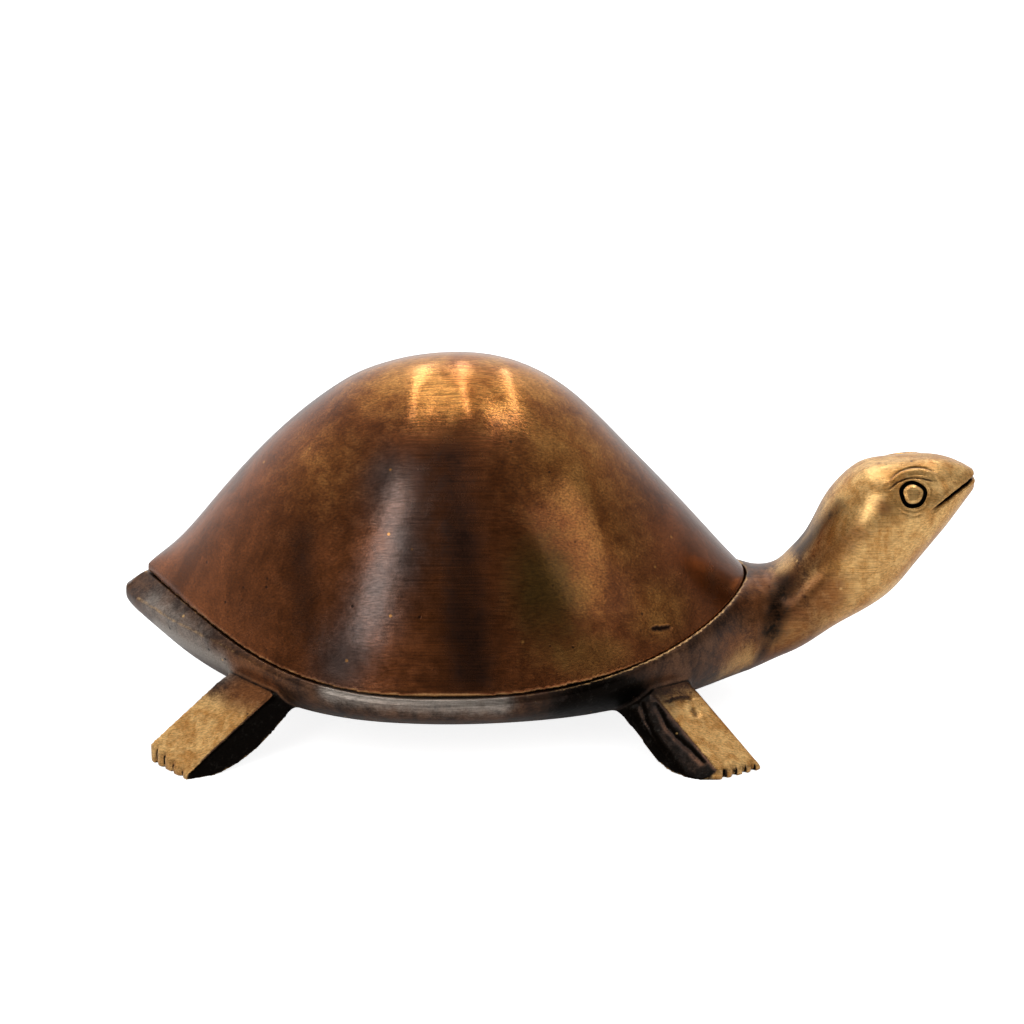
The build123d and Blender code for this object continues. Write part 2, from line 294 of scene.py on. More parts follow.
@dataclass(frozen=True)
class CastBrass:
    """Cast brass under a brown chemical patina that was rubbed back by hand and waxed.

    The patina is a thin dark oxide, so its shine is pale; the pale grey sheen colour below is not the patina's own
    but a painted reflection. Where it is rubbed away the metal itself shows and tints what it reflects.
    """

    name: str
    ground: str
    ground_light: str
    rubbed: str
    rubbed_light: str
    oxide: str
    tinge: str
    # The colour of the painted sheen: a painted reflection laid on the metal
    sheen: str
    worn: str
    roughness: float
    ground_metal: float
    rubbed_metal: float
    wax: float
    ragged: float
    relief: float
    brushed: float
    wax_roughness: float = 0.16
    # Sizes in millimetres: the torch's clouds, drawn out down the dome, the rag's clouds and the sand's grit
    mottle: float = 24.0
    drawn: float = 0.45
    cloud: float = 6.0
    grit: float = 0.7
    # Real emery lines are some hundredths of a millimetre wide, which is too fine to show
    hair_width: float = 0.45
    hair_length: float = 26.0
    hair_turns: tuple[Point, ...] = ((0.0, 9.0, 7.0), (12.0, -34.0, 28.0))
    hair_shares: tuple[float, ...] = (0.48, 0.3, 0.22)
    grit_in_edges: float = 0.45
    edge_break: float = 0.7
    tone_break: float = 0.5
    tone_range: Pair = (0.32, 0.72)
    line_range: Pair = (0.3, 0.7)
    speck_pitch: float = 7.5
    speck_range: Pair = (0.045, 0.1)
    nick_from: float = 0.72
    pit_to: float = 0.3
    cloud_gloss: float = 0.22
    rubbed_gloss: float = -0.04
    oxide_gloss: float = 0.08
    bump_strength: float = 0.4

    def add_grain(self, node: AddNode) -> dict[str, Socket]:
        """Adds the patterns that break the finish up.

        Args:
            node: Adds a node to the material.

        Returns:
            The patterns by name.
        """
        place = node("ShaderNodeTexCoord", out="Object")
        down = node(MAPPING, {"Vector": place, "Scale": (1.0, 1.0, self.drawn)})
        grain = {
            name: node(NOISE, {"Vector": where, "Scale": per_metre(size), "Detail": detail, "Roughness": rough,
                               "Distortion": warp})
            for name, where, size, detail, rough, warp in (
                ("mottle", down, self.mottle, 6.0, 0.62, 0.6), ("cloud", place, self.cloud, 5.0, 0.6, 0.3),
                ("grit", place, self.grit, 3.0, 0.6, 0.0))
        }
        stretch = (per_metre(self.hair_length), per_metre(self.hair_width), per_metre(self.hair_width))
        hairs = [node(NOISE, {"Vector": node(MAPPING, {"Vector": place, "Scale": stretch,
                                                       "Rotation": tuple(map(math.radians, turn))}),
                              "Scale": 1.0, "Detail": 2.0}) for turn in self.hair_turns]
        lines = 0.0
        for pattern, share in zip((*hairs, grain["grit"]), self.hair_shares):
            lines = node(MATH, {0: pattern, 1: share, 2: lines}, operation="MULTIPLY_ADD")
        edges = 0.0
        for pattern, share in ((grain["cloud"], self.ragged), (grain["grit"], self.grit_in_edges)):
            centred = node(MATH, {0: pattern, 1: 0.5}, operation="SUBTRACT")
            edges = node(MATH, {0: centred, 1: share, 2: edges}, operation="MULTIPLY_ADD")
        cells = node("ShaderNodeTexVoronoi", {"Vector": place, "Scale": per_metre(self.speck_pitch)}, "Distance")
        low, high = self.speck_range
        speck = node(RAMP, {"Value": cells, "From Min": low, "From Max": high, "To Min": 1.0, "To Max": 0.0}, **SMOOTH)
        chance = node("ShaderNodeSeparateColor", {0: cells.node.outputs["Color"]})
        for name, test, limit in (("nick", "GREATER_THAN", self.nick_from), ("pit", "LESS_THAN", self.pit_to)):
            chosen = node(MATH, {0: chance, 1: limit}, operation=test)
            grain[name] = node(MATH, {0: speck, 1: chosen}, operation="MULTIPLY")
        return grain | {"lines": lines, "edges": edges}

    def add_layers(self, node: AddNode, edges: Socket) -> dict[Layer, Socket]:
        """Adds how much of each layer a place has, with ragged edges.

        Args:
            node: Adds a node to the material.
            edges: The pattern that breaks the layers' edges up.

        Returns:
            One output for each layer.
        """
        shares = {}
        for layer, (low, high) in LAYER_EDGES.items():
            spread = node("ShaderNodeAttribute", out="Fac", attribute_name=layer.value)
            broken = node(MATH, {0: edges, 1: self.edge_break, 2: spread}, operation="MULTIPLY_ADD")
            shares[layer] = node(RAMP, {"Value": broken, "From Min": low, "From Max": high}, **SMOOTH)
        return shares

    def add_colour(self, node: AddNode, grain: dict[str, Socket], shares: dict[Layer, Socket]) -> Socket:
        """Adds the colours, from the cast ground up to the last nick.

        Args:
            node: Adds a node to the material.
            grain: The patterns.
            shares: How much of each layer a place has.

        Returns:
            The colour.
        """
        toned = node(MATH, {0: grain["edges"], 1: self.tone_break, 2: grain["mottle"]}, operation="MULTIPLY_ADD")
        low, high = self.tone_range
        tone = node(RAMP, {"Value": toned, "From Min": low, "From Max": high}, **SMOOTH)
        ground, bright = (
            node(MIX, {0: tone, 6: linear(dark), 7: linear(light)}, **COLOURS)
            for dark, light in ((self.ground, self.ground_light), (self.rubbed, self.rubbed_light)))
        colour = node(MIX, {0: shares[RUBBED], 6: ground, 7: bright}, **COLOURS)
        # The painted sheen lays a pale grey over the colour as a painted reflection
        for layer, hue, strength in ((TINGE, self.tinge, 0.75), (OXIDE, self.oxide, 1.0),
                                     (PAINTED_SHEEN, self.sheen, 0.85), (WORN, self.worn, 1.0)):
            share = node(MATH, {0: shares[layer], 1: strength}, operation="MULTIPLY")
            colour = node(MIX, {0: share, 6: colour, 7: linear(hue)}, **COLOURS)
        low, high = self.line_range
        shade = node(RAMP, {"Value": grain["lines"], "From Min": low, "From Max": high,
                            "To Min": 1 - self.brushed, "To Max": 1 + self.brushed}, **SMOOTH)
        colour = node(MIX, {0: 1.0, 6: colour, 7: shade}, **COLOURS, blend_type="MULTIPLY")
        for mark, hue, strength in (("nick", self.rubbed_light, 0.65), ("pit", self.oxide, 0.85)):
            share = node(MATH, {0: grain[mark], 1: strength}, operation="MULTIPLY")
            colour = node(MIX, {0: share, 6: colour, 7: linear(hue)}, **COLOURS)
        return colour

    def build(self) -> bpy.types.Material:
        """Makes the node material.

        Returns:
            The material.
        """
        material = bpy.data.materials.new(self.name)
        material.use_nodes = True
        material.node_tree.nodes.clear()
        node = partial(add, material.node_tree)
        grain = self.add_grain(node)
        shares = self.add_layers(node, grain["edges"])
        bare = node(MATH, {0: shares[RUBBED], 1: shares[WORN]}, operation="MAXIMUM")
        metal = node(RAMP, {"Value": bare, "To Min": self.ground_metal, "To Max": self.rubbed_metal}, **SMOOTH)
        # Thick oxide has no pale shine of its own, and only dims what the metal under it reflects
        metal = node(MATH, {0: metal, 1: shares[OXIDE]}, operation="MAXIMUM")
        gloss = self.roughness - 0.5 * self.cloud_gloss
        for share, weight in ((grain["cloud"], self.cloud_gloss), (shares[RUBBED], self.rubbed_gloss),
                              (shares[OXIDE], self.oxide_gloss)):
            gloss = node(MATH, {0: share, 1: weight, 2: gloss}, operation="MULTIPLY_ADD", use_clamp=True)
        height = 0.0
        for pattern, weight in (("lines", 0.55), ("grit", 0.45), ("pit", -0.9), ("cloud", 0.5)):
            height = node(MATH, {0: grain[pattern], 1: weight, 2: height}, operation="MULTIPLY_ADD")
        bump = node("ShaderNodeBump", {"Height": height, "Strength": self.bump_strength,
                                       "Distance": self.relief * MM})
        body = node("ShaderNodeBsdfPrincipled",
                    {"Base Color": self.add_colour(node, grain, shares), "Metallic": metal, "Roughness": gloss,
                     "Normal": bump, "Coat Weight": self.wax, "Coat Roughness": self.wax_roughness})
        node("ShaderNodeOutputMaterial", {"Surface": body})
        return material


class Skin:
    """The points of a mesh in millimetres, with their normals and neighbours."""

    RELAX_STEP = 0.6
    LEAST_WEIGHT = 0.01

    def __init__(self, mesh: bpy.types.Mesh) -> None:
        """Reads a mesh's points and edges.

        Args:
            mesh: The mesh.
        """
        self.mesh = mesh
        self.points = read(mesh.vertices, "co", 3).astype(float) / MM
        self.edges = read(mesh.edges, "vertices", 2, np.int32)
        self.degree = np.maximum(np.bincount(self.edges.ravel(), minlength=len(self.points)), 1)
        self.read_normals()

    def read_normals(self) -> None:
        """Reads the normals as the mesh now stands."""
        self.normals = read(self.mesh.vertex_normals, "vector", 3).astype(float)

    def store(self) -> None:
        """Writes the points back and reads their new normals."""
        self.mesh.vertices.foreach_set("co", (self.points * MM).astype(np.float32).ravel())
        self.mesh.update()
        self.read_normals()

    def average(self, values: np.ndarray) -> np.ndarray:
        """Each point's mean of its neighbours' values.

        Args:
            values: One value or row for each point.

        Returns:
            The means, in the same shape.
        """
        columns = values.reshape(len(values), -1)
        total = np.zeros_like(columns)
        first, second = self.edges[:, 0], self.edges[:, 1]
        for number in range(columns.shape[1]):
            total[:, number] = (np.bincount(first, columns[second, number], len(values))
                                + np.bincount(second, columns[first, number], len(values)))
        return (total / self.degree[:, None]).reshape(values.shape)

    def relax(self, weight: np.ndarray, rounds: int) -> None:
        """Smooths some of the points and writes them back.

        Args:
            weight: How much each point gives, from 0 to 1.
            rounds: How often.
        """
        gives = weight > self.LEAST_WEIGHT
        edges = self.edges[gives[self.edges[:, 0]] | gives[self.edges[:, 1]]]
        members, local = np.unique(edges, return_inverse=True)
        first, second = local.reshape(-1, 2).T
        degree = np.bincount(local.ravel(), minlength=len(members))
        share = np.where(gives[members], self.RELAX_STEP * weight[members], 0)
        points = self.points[members]
        for _ in range(rounds):
            for axis in range(3):
                total = (np.bincount(first, points[second, axis], len(members))
                         + np.bincount(second, points[first, axis], len(members)))
                points[:, axis] += share * (total / degree - points[:, axis])
        self.points[members] = points
        self.store()

    def bulge(self, rounds: int) -> np.ndarray:
        """Finds high edges and hollows.

        Args:
            rounds: How often the surroundings are smoothed.

        Returns:
            How far each point stands out from its smoothed surroundings.
        """
        smooth = self.points
        for _ in range(rounds):
            smooth = (smooth + self.average(smooth)) / 2
        return np.einsum("ij,ij->i", self.points - smooth, self.normals)

    def keep(self, name: str, values: np.ndarray) -> None:
        """Keeps one value for each point under a name."""
        attribute = self.mesh.attributes.new(name, "FLOAT", "POINT")
        attribute.data.foreach_set("value", values.astype(np.float32))


@dataclass
class Workpiece:
    """A casting on the bench: how it is copied from CAD nodes, skinned, worked and stained, in millimetres."""

    name: str
    voxel: float = 1.0
    smoothing: int = 4
    edge_wear: float = 0.16
    wear_rounds: int = 3
    wear_blur: int = 2
    hollow_depth: float = 0.3
    hollow_rounds: int = 9
    hollow_shade: float = 0.9
    # In widths of the line
    cut_search: float = 4.0
    stroke_search: float = 3.0
    cuts: tuple[Cut, ...] = ()
    stains: tuple[Stain | Stroke, ...] = ()
    most_triangles: int = 188000
    piece: bpy.types.Object | None = field(default=None, init=False)

    def copy_nodes(self, nodes: tuple[str, ...]) -> None:
        """Makes the piece from merged copies of its CAD nodes' meshes.

        Args:
            nodes: The nodes' names.
        """
        bpy.ops.object.select_all(action="DESELECT")
        for node in nodes:
            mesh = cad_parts[node].data.copy()
            mesh.materials.clear()
            self.piece = bpy.data.objects.new(self.name, mesh)
            bpy.context.scene.collection.objects.link(self.piece)
            self.piece.select_set(True)
            bpy.context.view_layer.objects.active = self.piece
        bpy.ops.object.join()
        go_to("EDIT")
        bpy.ops.mesh.select_all(action="SELECT")
        bpy.ops.mesh.remove_doubles(threshold=0.001 * MM)
        go_to("OBJECT")

    def finish_with(self, kind: str, **settings) -> None:
        """Applies one modifier to the piece.

        Args:
            kind: The modifier's type.
            settings: Its properties.
        """
        pick(self.piece)
        modifier = self.piece.modifiers.new(kind.title(), kind)
        for name, value in settings.items():
            setattr(modifier, name, value)
        bpy.ops.object.modifier_apply(modifier=modifier.name)

    def reskin(self) -> None:
        """Gives the piece an even skin, with every edge softened as a casting's is."""
        self.finish_with("REMESH", mode="VOXEL", voxel_size=self.voxel * MM, use_smooth_shade=True)
        self.finish_with("SMOOTH", factor=0.5, iterations=self.smoothing)

    def thin(self) -> None:
        """Takes triangles out of a piece that has too many for its STL file."""
        triangles = sum(len(face.vertices) - 2 for face in self.piece.data.polygons)
        if triangles > self.most_triangles:
            self.finish_with("DECIMATE", ratio=self.most_triangles / triangles)

    def engrave(self, skin: Skin) -> np.ndarray:
        """Works the tool lines into the metal.

        Args:
            skin: The piece's points.

        Returns:
            How dark each point is left by them.
        """
        dark = np.zeros(len(skin.points))
        shift = np.zeros(len(skin.points))
        tree = KDTree(len(skin.points))
        for number, point in enumerate(skin.points):
            tree.insert(point, number)
        tree.balance()
        for cut in self.cuts:
            for side in ((1, -1) if cut.twin else (1,)):
                path = np.array([tree.find(Vector((x, side * y, z)))[0] for x, y, z in spline(cut.path)])
                moved, shade = cut.profile(*distance(skin.points, path, self.cut_search * cut.width))
                shift += moved
                dark = np.maximum(dark, shade)
        skin.points += skin.normals * shift[:, None]
        skin.store()
        return dark

    def layers(self, skin: Skin) -> dict[Layer, np.ndarray]:
        """Where the metal is rubbed, dark, tinged and worn, and where sheen is painted, by its stains and its edges.

        Args:
            skin: The piece's points.

        Returns:
            One array for each layer.
        """
        spread = {layer: np.zeros(len(skin.points)) for layer in Layer}
        place = skin.points * (1, -1, 1) * np.where(skin.points[:, 1:2] > 0, 1, (1, -1, 1))
        for stain in self.stains:
            if isinstance(stain, Stroke):
                reach = distance(place, np.array(spline(stain.path)), self.stroke_search * stain.width)[0]
                away = (reach / stain.width) ** 2
            else:
                away = (((place - stain.centre) / stain.radii) ** 2).sum(1)
            spread[stain.layer] = np.maximum(spread[stain.layer], stain.amount * np.exp(-away))
        bulge = skin.bulge(self.wear_rounds) / self.edge_wear
        for _ in range(self.wear_blur):
            bulge = (bulge + skin.average(bulge)) / 2
        spread[WORN] = np.maximum(spread[WORN], bulge)
        hollow = rising(skin.bulge(self.hollow_rounds), 0, -self.hollow_depth)
        spread[OXIDE] = np.maximum(spread[OXIDE], self.hollow_shade * hollow)
        return spread

    def work(self, skin: Skin) -> None:
        """Cuts the tool lines and stains the metal.

        Args:
            skin: The piece's points.
        """
        dark = self.engrave(skin)
        spread = self.layers(skin)
        spread[OXIDE] = np.maximum(spread[OXIDE], dark)
        for layer, values in spread.items():
            skin.keep(layer.value, np.clip(values, 0, 1))


@dataclass
class ShellCasting(Workpiece):
    """The domed shell: a casting of its own, rubbed to the metal along its crest."""

    node: str = "shell_lid"
    body: str = "lid"
    slot: str = "brown_patina_brass"
    finish: CastBrass | None = None
    flute_top: float = 122.0
    flute_line: float = -46.0
    flute_lean: float = 0.18
    flute_pitch: float = 17.0
    flute_fan: float = 0.6
    flute_heights: tuple[float, ...] = (34, 44, 65, 90, 115, 123, 127)
    flute_depths: tuple[float, ...] = (0, 0.2, 0.4, 0.4, 0.26, 0.16, 0)
    flutes_each_way: float = 2.3
    flute_end: float = 0.8
    level_from: float = 0.95
    level_run: float = 0.1
    hollow_height: float = 30.0

    def flute(self, skin: Skin) -> None:
        """Gives the outside the shallow flutes that the hammer and file left, fanning down from the crest.

        Args:
            skin: The shell's points.
        """
        x, _, z = skin.points.T
        drop = self.flute_top - z
        turn = (x - self.flute_line + self.flute_lean * drop) / (self.flute_pitch + self.flute_fan * drop)
        depth = np.interp(z, self.flute_heights, self.flute_depths)
        fade = rising(np.abs(turn), self.flutes_each_way, -self.flute_end)
        fade = fade * rising(skin.normals[:, 2], self.level_from, -self.level_run)
        outside = ((skin.points - (self.flute_line, 0, self.hollow_height)) * skin.normals).sum(1) > 0
        skin.points += skin.normals * (depth * fade * outside * np.cos(2 * math.pi * turn))[:, None]
        skin.store()

    def make(self) -> list[bpy.types.Object]:
        """Builds and dresses the shell.

        Returns:
            The shell, as the only piece.
        """
        self.copy_nodes((self.node,))
        self.reskin()
        skin = Skin(self.piece.data)
        self.flute(skin)
        self.work(skin)
        self.thin()
        self.piece.data.materials.append(self.finish.build())
        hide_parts(self.node)
        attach(self.piece, self.body)
        return [self.piece]


@dataclass
class BrazedBase(Workpiece):
    """The bowl with the neck and legs brazed to it.

    They are skinned and worked as one, so that the metal runs on over each filed joint, and then parted
    into a closed piece for each CAD node.
    """

    bowl: str = "body_bowl"
    limbs: tuple[str, ...] = ("neck_and_head", "front_right_leg", "front_left_leg", "rear_right_leg", "rear_left_leg")
    body: str = "base"
    bowl_slot: str = "dark_patina_brass"
    limb_slot: str = "rubbed_brass"
    finish: CastBrass | None = None
    eye: Eye = Eye()
    cheek_rounds: int = 120
    snout: float = 131.0
    fine_spots: tuple[tuple[Point, float], ...] = ()
    fine_cuts: int = 2
    search: float = 6.0
    search_blur: int = 4
    braze: float = 4.0
    braze_rounds: int = 26
    neck_span: Pair = (70.0, 112.0)
    neck_ends: Pair = (5.0, 8.0)
    neck_skirt: float = 5.0
    neck_skirt_run: float = 2.0
    neck_rounds: int = 180
    limb_edge: float = 2.0
    head_from: float = 90.0
    head_run: float = 20.0
    neck_bright: float = 0.3
    middle: Pair = (-20.0, 0.0)
    top_from: float = 0.6
    top_run: float = 0.12
    root_height: float = 25.0
    root_run: float = 9.0
    root_bright: float = 0.15
    side_rounds: int = 3
    side_dark: float = 0.9
    toe_length: float = 9.0
    toe_margin: float = 2.0
    toe_from: float = 0.3
    toe_run: float = 0.2
    toe_skin: float = 3.0
    toe_bright: float = 0.7
    notch_rounds: int = 14
    notch_depth: float = 0.14
    notch_top: float = 12.0
    fields: dict[str, np.ndarray] = field(default_factory=dict, init=False)

    def belonging(self, skin: Skin) -> tuple[dict[str, np.ndarray], np.ndarray]:
        """Tells whose skin each point is, from how near it lies to each node.

        Args:
            skin: The points.

        Returns:
            For each limb a field that is above zero on it, and how close each point lies to a joint.
        """
        trees = {}
        for node in (self.bowl, *self.limbs):
            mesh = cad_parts[node].data
            corners = [vertex.co / MM for vertex in mesh.vertices]
            trees[node] = BVHTree.FromPolygons(corners, [tuple(face.vertices) for face in mesh.polygons])
        fields = {}
        joint = np.zeros(len(skin.points))
        for limb in self.limbs:
            low, high = (np.array(corner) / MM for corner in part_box(limb))
            near = np.nonzero(np.all((skin.points > low - self.search) & (skin.points < high + self.search), axis=1))[0]
            field_values = np.full(len(skin.points), -self.search)
            for number in near:
                place = Vector(skin.points[number])
                own = trees[limb].find_nearest(place, self.search)[3]
                if own is None:
                    continue
                other = trees[self.bowl].find_nearest(place, self.search)[3] or self.search
                field_values[number] = other - own
                joint[number] = max(joint[number], math.exp(-(max(own, other) / self.braze) ** 2))
            for _ in range(self.search_blur):
                field_values = (field_values + skin.average(field_values)) / 2
            fields[limb] = field_values
        return fields, joint

    def copy_nodes(self, nodes: tuple[str, ...]) -> None:
        """Also closes the sawn mouth, which is cut again in the finer skin.

        Args:
            nodes: The nodes' names.
        """
        super().copy_nodes(nodes)
        go_to("EDIT")
        bpy.ops.mesh.select_mode(type="VERT")
        bpy.ops.mesh.select_all(action="DESELECT")
        go_to("OBJECT")
        for vertex in self.piece.data.vertices:
            vertex.select = vertex.co.x > self.snout * MM
        go_to("EDIT")
        bpy.ops.mesh.duplicate()
        bpy.ops.mesh.convex_hull()
        go_to("OBJECT")

    def refine(self) -> None:
        """Divides the skin finely where small work is to be cut into it."""
        centres = read(self.piece.data.polygons, "center", 3) / MM
        chosen = np.zeros(len(centres), bool)
        for centre, radius in self.fine_spots:
            for side in (1, -1):
                chosen |= np.linalg.norm(centres - np.array(centre) * (1, side, 1), axis=1) < radius
        self.choose(chosen)
        bpy.ops.mesh.subdivide(number_cuts=self.fine_cuts)
        go_to("OBJECT")

    def choose(self, chosen: np.ndarray) -> None:
        """Goes to edit mode with just the named faces selected.

        Args:
            chosen: For each face, whether it is selected.
        """
        pick(self.piece)
        go_to("EDIT")
        bpy.ops.mesh.select_mode(type="FACE")
        bpy.ops.mesh.select_all(action="DESELECT")
        go_to("OBJECT")
        self.piece.data.polygons.foreach_set("select", chosen)
        go_to("EDIT")

    def file_joints(self, skin: Skin, joint: np.ndarray) -> None:
        """Rounds the brazed joints out, evens the neck and blunts the toes.

        Args:
            skin: The points.
            joint: How close each point lies to a joint, from 0 to 1.
        """
        skin.relax(joint, self.braze_rounds)
        x = skin.points[:, 0]
        (start, end), (start_run, end_run) = self.neck_span, self.neck_ends
        neck = rising(x, start, start_run) * rising(x, end, -end_run)
        neck = neck * rising(self.fields[self.limbs[0]], -self.neck_skirt, self.neck_skirt_run)
        skin.relax(neck, self.neck_rounds)
        toes = np.zeros(len(x))
        for limb in self.limbs[1:]:
            toes = np.maximum(toes, (self.fields[limb] > self.toe_skin) * self.toe_front(skin, limb))
        skin.relax(toes, 1)

    def toe_front(self, skin: Skin, limb: str) -> np.ndarray:
        """Finds the ends of a leg's toes.

        Args:
            skin: The points.
            limb: The leg's CAD node.

        Returns:
            How much each point there looks out along the leg, from 0 to 1.
        """
        low, high = (np.array(corner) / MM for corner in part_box(limb))
        along = (high - low)[:2] * np.sign(((high + low) / 2)[:2] - self.middle)
        along /= np.linalg.norm(along)
        reach = skin.points[:, :2] @ along
        end = reach[self.fields[limb] > 0].max()
        faces = rising(skin.normals[:, :2] @ along, self.toe_from, self.toe_run)
        return faces * rising(reach - end, -self.toe_length, self.toe_margin)

    def engrave(self, skin: Skin) -> np.ndarray:
        """Adds the eyes to the tool lines.

        Args:
            skin: The base's points.

        Returns:
            How dark each point is left by them.
        """
        dark = super().engrave(skin)
        for side in (1, -1):
            axis, radius, across = self.eye.about(skin.points, side)
            skin.points += self.eye.rise(radius, across)[:, None] * axis
            dark = np.maximum(dark, self.eye.shade(radius))
        skin.store()
        return dark

    def layers(self, skin: Skin) -> dict[Layer, np.ndarray]:
        """Adds the bright head and filed leg tops, and the dark leg sides, to the stains.

        Args:
            skin: The base's points.

        Returns:
            One array for each layer.
        """
        spread = super().layers(skin)
        smooth = skin.normals
        for _ in range(self.side_rounds):
            smooth = (smooth + skin.average(smooth)) / 2
        x, _, z = skin.points.T
        notch = rising(skin.bulge(self.notch_rounds), 0, -self.notch_depth)
        for limb, values in self.fields.items():
            on_limb = rising(values, -self.limb_edge / 2, self.limb_edge)
            if limb == self.limbs[0]:
                head = rising(x, self.head_from, self.head_run)
                bright = self.neck_bright + (1 - self.neck_bright) * head
                shaded = np.zeros(len(x))
            else:
                toes = self.toe_front(skin, limb)
                root = np.maximum(rising(z, self.root_height, -self.root_run), self.root_bright)
                top = rising(smooth[:, 2], self.top_from, self.top_run)
                bright = np.maximum(top * root, self.toe_bright * toes)
                side = rising(smooth[:, 2], self.top_from, -self.top_run)
                shaded = self.side_dark * side * (1 - bright)
                shaded = np.maximum(shaded, notch * (toes > 0) * (z < self.notch_top))
            spread[RUBBED] = np.maximum(spread[RUBBED], on_limb * bright)
            spread[OXIDE] = np.maximum(spread[OXIDE], on_limb * shaded)
        return spread

    def part(self, values: np.ndarray) -> bpy.types.Object:
        """Parts one limb's faces from the rest.

        Args:
            values: The limb's field, for the points that are left.

        Returns:
            The limb's own object.
        """
        corners = read(self.piece.data.loops, "vertex_index", kind=np.int32)
        first = read(self.piece.data.polygons, "loop_start", kind=np.int32)
        self.choose(np.add.reduceat(values[corners], first) > 0)
        bpy.ops.mesh.separate(type="SELECTED")
        go_to("OBJECT")
        return next(o for o in bpy.context.selected_objects if o is not self.piece)

    def make(self) -> list[bpy.types.Object]:
        """Builds, dresses and parts the whole base.

        Returns:
            The pieces, with the bowl last.
        """
        self.copy_nodes((self.bowl, *self.limbs))
        self.reskin()
        skin = Skin(self.piece.data)
        for side in (1, -1):
            radius = self.eye.about(skin.points, side)[1]
            skin.relax(rising(radius, self.eye.reach, -1), self.cheek_rounds)
        self.refine()
        skin = Skin(self.piece.data)
        self.fields, joint = self.belonging(skin)
        self.file_joints(skin, joint)
        self.work(skin)
        for limb, values in self.fields.items():
            skin.keep(limb, values)
        material = self.finish.build()
        pieces = {}
        for limb in self.limbs:
            pieces[limb] = self.part(read(self.piece.data.attributes[limb].data, "value"))
        pieces[self.bowl] = self.piece
        for node, piece in pieces.items():
            piece.name = f"{node}_casting"
            close_joints(piece, self.limbs)
            self.piece = piece
            self.thin()
            piece.data.materials.clear()
            piece.data.materials.append(material)
            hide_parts(node)
            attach(piece, self.body)
        return list(pieces.values())


def close_joints(piece: bpy.types.Object, spent: tuple[str, ...]) -> None:
    """Closes a parted piece at its joints, each with a fan of faces inside a sharp edge.

    Args:
        piece: The piece.
        spent: Names of point attributes that are no longer needed.
    """
    mesh = piece.data
    pick(piece)
    go_to("EDIT")
    bpy.ops.mesh.select_mode(type="EDGE")
    bpy.ops.mesh.select_all(action="DESELECT")
    bpy.ops.mesh.select_non_manifold(extend=False, use_wire=False, use_multi_face=False, use_non_contiguous=False,
                                     use_verts=False)
    bpy.ops.mesh.mark_sharp()
    bpy.ops.mesh.fill_holes(sides=0)
    bpy.ops.mesh.select_mode(type="FACE")
    bpy.ops.mesh.select_all(action="DESELECT")
    bpy.ops.mesh.select_face_by_sides(number=4, type="GREATER")
    bpy.ops.mesh.poke()
    go_to("OBJECT")
    for name in spent:
        if name in mesh.attributes:
            mesh.attributes.remove(mesh.attributes[name])


def spline(points: tuple[Point, ...], steps: int = 8) -> list[Point]:
    """A smooth line through a few points.

    Args:
        points: Two points or more.
        steps: How many parts each stretch gets.

    Returns:
        The line's points.
    """
    known = np.array([points[0], *points, points[-1]], float)
    line = []
    for number in range(1, len(known) - 2):
        a, b, c, d = known[number - 1:number + 3]
        for step in range(steps):
            t = step / steps
            line.append(tuple(0.5 * ((2 * b) + (c - a) * t + (2 * a - 5 * b + 4 * c - d) * t ** 2
                                     + (3 * b - a - 3 * c + d) * t ** 3)))
    line.append(tuple(known[-1]))
    return line


def distance(points: np.ndarray, path: np.ndarray, limit: float) -> tuple[np.ndarray, np.ndarray]:
    """How far points lie from a line, and how far along it.

    Args:
        points: The points.
        path: The line's own points.
        limit: Points further away than this are passed over.

    Returns:
        The distances, and the shares of the line's length.
    """
    reach = np.full(len(points), FAR)
    share = np.zeros(len(points))
    near = np.all((points > path.min(0) - limit) & (points < path.max(0) + limit), axis=1)
    chosen = points[near]
    best, along = reach[near], share[near]
    spans = len(path) - 1
    for number in range(spans):
        start, step = path[number], path[number + 1] - path[number]
        t = np.clip((chosen - start) @ step / max(step @ step, 1e-9), 0, 1)
        gap = np.linalg.norm(chosen - start - t[:, None] * step, axis=1)
        closer = gap < best
        best = np.where(closer, gap, best)
        along = np.where(closer, (number + t) / spans, along)
    reach[near], share[near] = best, along
    return reach, share


# Brass cast in sand, patinated brown with a torch, rubbed with a rag and waxed: soft gold clouds come up through
# a glossy dark brown, most of all on the crest. Its sheen colour is a grey painted reflection.
SHELL_FINISH = CastBrass("Cast brass, brown patina rubbed by hand", ground="5f3110", ground_light="8c4f28",
                         rubbed="a0602b", rubbed_light="c98d4a", oxide="27140b", tinge="604a1e",
                         sheen="504c4a", worn="b08252", roughness=0.23, ground_metal=0.82, rubbed_metal=0.92,
                         wax=0.12, ragged=0.7, relief=0.12, brushed=0.42)
# The same casting left near black and then filed: satin yellow metal with file lines against dull dark hollows. Its
# sheen colour is a pale painted reflection.
BASE_FINISH = CastBrass("Cast brass, dark oxide filed back to the metal", ground="38251b", ground_light="674630",
                        rubbed="be8543", rubbed_light="f0c07a", oxide="0c0704", tinge="8a5226",
                        sheen="a2988e", worn="caa06a", roughness=0.34, ground_metal=0.8, rubbed_metal=0.72,
                        wax=0.05, ragged=0.85, relief=0.1, brushed=0.38, mottle=7.0, cloud=3.0, hair_length=14.0)

